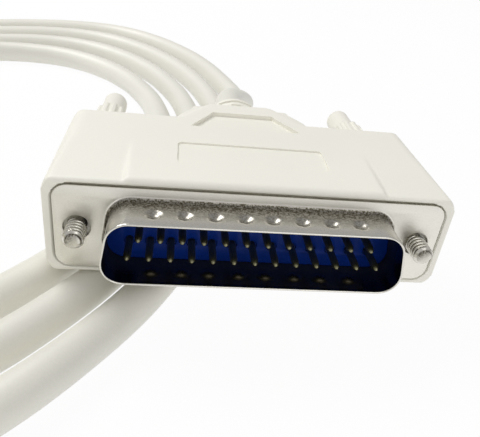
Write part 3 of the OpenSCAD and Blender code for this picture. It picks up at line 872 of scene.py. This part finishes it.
def flange_plate(sizes):
    """The flat flange with its round corners, its D opening and its two screw holes."""
    sheet = sizes.sheet_t
    bpy.ops.mesh.primitive_plane_add(size=1, rotation=(math.pi / 2, 0, 0))
    bpy.context.object.scale = (SHELL_HIGH.x - SHELL_LOW.x, SHELL_HIGH.z - SHELL_LOW.z, 1)
    plate = new_piece("front_flange")
    edit(plate, "VERT")
    take_all()
    bpy.ops.mesh.bevel(affect="VERTICES", offset_type="OFFSET", offset=sizes.flange_r,
                       segments=CORNER_STEPS)
    pick_by("FACE")
    take_all()
    push((0, sheet, 0))
    turn_outwards()
    leave_edit()
    opening = d_face("opening", 0, -sheet)
    push((0, 3 * sheet, 0))
    turn_outwards()
    leave_edit()
    cut(plate, opening)
    for side in SIDES.values():
        bpy.ops.mesh.primitive_cylinder_add(
            vertices=ROUND_STEPS, radius=sizes.hole_d / 2, depth=6 * sheet,
            location=(side * SCREW_X, 0, 0), rotation=(math.pi / 2, 0, 0))
        cut(plate, new_piece("hole"))
    apply_modifier(plate, "BEVEL", width=0.09 * MM, segments=2, limit_method="ANGLE",
                   angle_limit=math.radians(40))
    return plate


def mark_wear_and_shade(wall, sizes):
    """Marks where the colour is darker: painted shade in the crease where the shell bends out of its
    flange, mixed with dull plating and fading out towards the rim, and painted shade in the indents.
    """
    worn = wall.data.attributes.new("worn", "FLOAT", "POINT")
    fade, indent_shade = 1.5, 0.7
    flat_z = sizes.opening_h / 2 + 0.8 * sizes.sheet_t
    row_w = sizes.indents * sizes.indent_pitch
    for point, mark in zip(wall.data.vertices, worn.data):
        x, y, z = point.co
        # Painted shade in the crease of the bend, mixed with dull plating, fading out towards the rim
        if y < -SHALLOW:
            mark.value = sizes.worn * min(1, max(0, fade * (1 + y / sizes.wear_and_shade_l)))
        # Painted shade in the hollows of the indents
        in_row = abs(y + sizes.indent_y) < sizes.indent_d and abs(x) < row_w / 2
        if in_row and flat_z - sizes.indent_deep < abs(z) < flat_z:
            mark.value = max(mark.value, indent_shade * sizes.worn)


def sheet_slot(face, sizes, rim_y):
    """The slot of a face's material: 2 on the flange, which has painted light, 1 on the wall's inside,
    which has painted shade, and 0 on its outside.
    """
    if face.center.y > -SHALLOW:
        return 2
    outward = (face.normal.x * face.center.x / sizes.opening_w ** 2
               + face.normal.z * face.center.z / sizes.opening_h ** 2)
    return int(outward < 0 and face.center.y > rim_y)


class CONNECTOR_OT_shell(bpy.types.Operator):
    """Draws the front shell: its flange, bend, indented wall and rounded rim, for both connectors"""
    bl_idname = "connector.shell"
    bl_label = "Front shells"

    def execute(self, context):
        sizes = context.scene.connector_metal
        wall = cup_wall(sizes, -SHELL_LOW.y)
        press_indents(wall, sizes)
        join(wall, flange_plate(sizes))
        smooth(wall, 40)
        mark_wear_and_shade(wall, sizes)
        rim_y = SHELL_LOW.y + sizes.sheet_t / 2
        slots = [sheet_slot(face, sizes, rim_y) for face in wall.data.polygons]
        for piece in put_both(wall, "shell_metal", "Tinned sheet", "front_shell"):
            give(piece.data, "Tinned sheet", "Inner plating", "Satin flange")
            for face, slot in zip(piece.data.polygons, slots):
                face.material_index = slot
        return {"FINISHED"}


def contact_place(number):
    """Where a contact's axis crosses the flange: the first thirteen are in the lower row."""
    low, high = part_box(f"contact_{number:02d}")
    row = -1 if number <= LOWER_ROW else 1
    return Vector(((low.x + high.x) / 2, 0, row * ROW_GAP / 2))


class CONNECTOR_OT_insulator(bpy.types.Operator):
    """Moulds the front insulator with its collar and the wells around the pins, for both connectors"""
    bl_idname = "connector.insulator"
    bl_label = "Front insulators"

    def execute(self, context):
        sizes = context.scene.connector_insulator
        low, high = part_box("front_insulator")
        sheet = context.scene.connector_metal.sheet_t
        block = d_face("insulator_block", sizes.collar_out - sizes.gap, high.y)
        push((0, sheet - high.y, 0))
        step_in(sizes.collar_out, 0)
        push((0, low.y - sheet, 0))
        leave_edit()
        wells = []
        for number in CONTACTS:
            bpy.ops.mesh.primitive_cylinder_add(
                vertices=PIN_STEPS, radius=sizes.well_d / 2, depth=2 * sizes.well_deep,
                location=contact_place(number) + Vector((0, low.y, 0)), rotation=(math.pi / 2, 0, 0))
            wells.append(new_piece("well"))
        cut(block, join(*wells))
        apply_modifier(block, "BEVEL", width=0.08 * MM, segments=2, limit_method="ANGLE",
                       angle_limit=math.radians(50))
        smooth(block, 35)
        put_both(block, "blue_insulator", "Blue insulator", "front_insulator")
        return {"FINISHED"}


class CONNECTOR_OT_contacts(bpy.types.Operator):
    """Turns one contact with a long rounded tip and sets a copy in every place of both connectors"""
    bl_idname = "connector.contacts"
    bl_label = "Contacts"

    def execute(self, context):
        sizes = context.scene.connector_contact
        low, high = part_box("contact_01")
        thick, thin = (high.x - low.x) / 2, sizes.pin_d / 2
        bpy.ops.mesh.primitive_circle_add(vertices=PIN_STEPS, radius=thick, fill_type="NGON",
                                          location=(0, high.y, 0), rotation=(math.pi / 2, 0, 0))
        pin = new_piece("pin_pattern")
        edit(pin)
        take_all()
        look_ahead(pin)
        push((0, sizes.shoulder_y - high.y, 0))
        step_in(thick - thin, 0)
        push((0, low.y + sizes.tip_l - sizes.shoulder_y, 0))
        turns = [math.radians(a) for a in range(0, 90, TIP_STEP)]
        for a, b in zip(turns, turns[1:]):
            step_in(thin * (math.cos(a) - math.cos(b)), sizes.tip_l * (math.sin(b) - math.sin(a)))
        leave_edit()
        smooth(pin, 40)
        twins = []
        for number in CONTACTS:
            place = contact_place(number)
            put_on(moved_copy(pin, f"turned_pin_{number:02d}", place), ROOT, "contact_metal",
                   "Turned contact", f"contact_{number:02d}")
            twins.append(moved_copy(pin, "far_turned_pins", place + FAR_SHIFT))
        put_on(join(*twins), ROOT, "contact_metal", "Turned contact", "far_contacts")
        bpy.data.objects.remove(pin)
        return {"FINISHED"}


def cut_thread(screw, sizes, reach):
    """In edit mode, sets each point of the shank on the thread's ridge or valley and marks the valleys
    for a darker colour.
    """
    top, chamfer = sizes.thread_d / 2, sizes.thread_deep + 0.12 * MM
    steep, valley = 2.4, 0.5
    shape = bmesh.from_edit_mesh(screw.data)
    worn = shape.verts.layers.float.new("worn")
    for point in shape.verts:
        out = Vector((point.co.x - SCREW_X, point.co.z))
        turn = (math.atan2(out.y, out.x) / math.tau + point.co.y / sizes.thread_pitch) % 1
        crest = min(1, max(0, steep * (1 - abs(2 * turn - 1)) - valley))
        radius = min(top - sizes.thread_deep * (1 - crest), top - chamfer + (point.co.y + reach))
        # The thread's valleys get the darker colour
        point[worn] = 1 - crest
        out *= radius / out.length
        point.co.x, point.co.z = SCREW_X + out.x, out.y
    bmesh.update_edit_mesh(screw.data)


def threaded_screw(sizes):
    """One screw: its thread with a chamfered end, and the plain shank behind it."""
    low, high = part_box("right_screw")
    reach, top = -low.y, sizes.thread_d / 2
    bpy.ops.mesh.primitive_cylinder_add(vertices=THREAD_STEPS, radius=top, depth=reach,
                                        location=(SCREW_X, -reach / 2, 0), rotation=(math.pi / 2, 0, 0))
    screw = new_piece("screw_pattern")
    edit(screw, "EDGE")
    choose(screw, "edges", lambda e: abs(e.verts[0].co.y - e.verts[1].co.y) > reach / 2)
    bpy.ops.mesh.subdivide(number_cuts=FINE_CUTS)
    pick_by("VERT")
    cut_thread(screw, sizes, reach)
    pick_by("FACE")
    choose(screw, "faces", lambda f: len(f.verts) > 4 and f.calc_center_median().y > -WELD)
    step_in(top - sizes.thread_deep - sizes.shank_d / 2 + SLACK, 0)
    push((0, high.y, 0))
    end_edge, end_rise = 0.3 * MM, 0.03 * MM
    choose(screw, "faces", lambda f: len(f.verts) > 4 and f.calc_center_median().y < -reach + WELD)
    step_in(end_edge, end_rise)
    leave_edit()
    smooth(screw, 50)
    return screw


class CONNECTOR_OT_screws(bpy.types.Operator):
    """Turns the threaded screws and their soft-edged thumb heads, for both connectors"""
    bl_idname = "connector.screws"
    bl_label = "Thumbscrews"

    def execute(self, context):
        sizes = context.scene.connector_screw
        screw = threaded_screw(sizes)
        head = merged_copy("right_thumb_head", "head_pattern")
        apply_modifier(head, "REMESH", mode="VOXEL", voxel_size=sizes.head_voxel, use_smooth_shade=True)
        apply_modifier(head, "SMOOTH", factor=0.5, iterations=4)
        for prefix, shift in (("", Vector()), ("far_", FAR_SHIFT)):
            for name, side in SIDES.items():
                place = shift + Vector(((side - 1) * SCREW_X, 0, 0))
                body = f"{prefix}{name}_thumbscrew"
                put_on(moved_copy(screw, f"{prefix}{name}_threaded_screw", place), body, "screw_metal",
                       "Plated screw", f"{prefix}{name}_screw")
                put_on(moved_copy(head, f"{prefix}{name}_thumb_grip", place), body, "thumb_mould",
                       "Moulded thumb grip", f"{prefix}{name}_thumb_head")
        for pattern in (screw, head):
            bpy.data.objects.remove(pattern)
        return {"FINISHED"}


def lay_floor(sizes):
    """The white floor, which gives its own light and still keeps the object's shadow."""
    bpy.ops.mesh.primitive_plane_add(size=6, location=(0, 0, FLOOR_Z))
    floor = new_piece("floor")
    white = bpy.data.materials.new("White paper")
    white.use_nodes = True
    tree = white.node_tree
    paper = tree.nodes["Principled BSDF"]
    paper.inputs["Base Color"].default_value = (0.86, 0.86, 0.86, 1)
    paper.inputs["Roughness"].default_value = 0.8
    glow = tree.nodes.new("ShaderNodeEmission")
    glow.inputs["Strength"].default_value = 1
    both = tree.nodes.new("ShaderNodeMixShader")
    path = tree.nodes.new("ShaderNodeLightPath")
    seen = math_node(tree, "MAXIMUM", path.outputs["Is Camera Ray"], path.outputs["Is Glossy Ray"])
    tree.links.new(remap(tree, seen, 0, 1, sizes.bounce, sizes.paper), both.inputs["Fac"])
    tree.links.new(paper.outputs["BSDF"], both.inputs[1])
    tree.links.new(glow.outputs["Emission"], both.inputs[2])
    tree.links.new(both.outputs["Shader"], tree.nodes["Material Output"].inputs["Surface"])
    floor.data.materials.append(white)


def light_sky(scene, sizes):
    """An even white sky that is a little stronger in front of the mating face."""
    world = scene.world or bpy.data.worlds.new("Studio")
    scene.world = world
    world.use_nodes = True
    tree = world.node_tree
    sky = tree.nodes["Background"]
    sky.inputs["Color"].default_value = (1, 1, 1, 1)
    view = tree.nodes.new("ShaderNodeSeparateXYZ")
    tree.links.new(tree.nodes.new("ShaderNodeTexCoord").outputs["Generated"], view.inputs["Vector"])
    even = remap(tree, view.outputs["Y"], *SKY_BAND, sizes.front, sizes.sky)
    seen = tree.nodes.new("ShaderNodeLightPath").outputs["Is Camera Ray"]
    tree.links.new(remap(tree, seen, 0, 1, even, 1), sky.inputs["Strength"])


def place_camera(scene, sizes):
    camera = bpy.data.cameras.new("Camera")
    camera.lens = sizes.lens
    camera.sensor_width = 36
    camera.clip_start = 5 * MM
    ahead = Vector(CAMERA_AHEAD).normalized()
    side = ahead.cross(Vector(CAMERA_UP)).normalized()
    turned = Matrix((side, side.cross(ahead), -ahead)).transposed().to_4x4()
    scene.camera = new_object("Camera", camera)
    scene.camera.matrix_world = Matrix.Translation(CAMERA_PLACE) @ turned


class CONNECTOR_OT_stage(bpy.types.Operator):
    """Sets the floor, the soft lights and the camera"""
    bl_idname = "connector.stage"
    bl_label = "Stage"

    def execute(self, context):
        scene = context.scene
        sizes = scene.connector_stage
        lay_floor(sizes)
        light_sky(scene, sizes)
        for name, place, aim, power in LAMPS:
            lamp = bpy.data.lights.new(name, "AREA")
            lamp.size = LAMP_W
            lamp.energy = power
            holder = new_object(name, lamp)
            holder.location = place
            holder.rotation_euler = (Vector(aim) - Vector(place)).to_track_quat("-Z", "Y").to_euler()
        place_camera(scene, sizes)
        scene.view_settings.view_transform = "Standard"
        return {"FINISHED"}


class CONNECTOR_PT_panel(bpy.types.Panel):
    """Lists the pieces of the connector"""
    bl_idname = "CONNECTOR_PT_panel"
    bl_label = "Connector"
    bl_space_type = "VIEW_3D"
    bl_region_type = "UI"
    bl_category = "Connector"

    def draw(self, context):
        for operator in OPERATORS:
            self.layout.operator(operator.bl_idname)


OPERATORS = (CONNECTOR_OT_finishes, CONNECTOR_OT_lead, CONNECTOR_OT_hood, CONNECTOR_OT_shell,
             CONNECTOR_OT_insulator, CONNECTOR_OT_contacts, CONNECTOR_OT_screws, CONNECTOR_OT_stage)
CLASSES = (*GROUPS.values(), *OPERATORS, CONNECTOR_PT_panel)


def register():
    for cls in CLASSES:
        bpy.utils.register_class(cls)
    for name, group in GROUPS.items():
        setattr(bpy.types.Scene, name, bpy.props.PointerProperty(type=group))


def unregister():
    for name in GROUPS:
        delattr(bpy.types.Scene, name)
    for cls in reversed(CLASSES):
        bpy.utils.unregister_class(cls)


def main():
    register()
    bpy.ops.connector.finishes()
    bpy.ops.connector.hood()
    bpy.ops.connector.shell()
    bpy.ops.connector.insulator()
    bpy.ops.connector.contacts()
    bpy.ops.connector.screws()
    bpy.ops.connector.lead()
    bpy.ops.connector.stage()


if __name__ == "__main__":
    main()
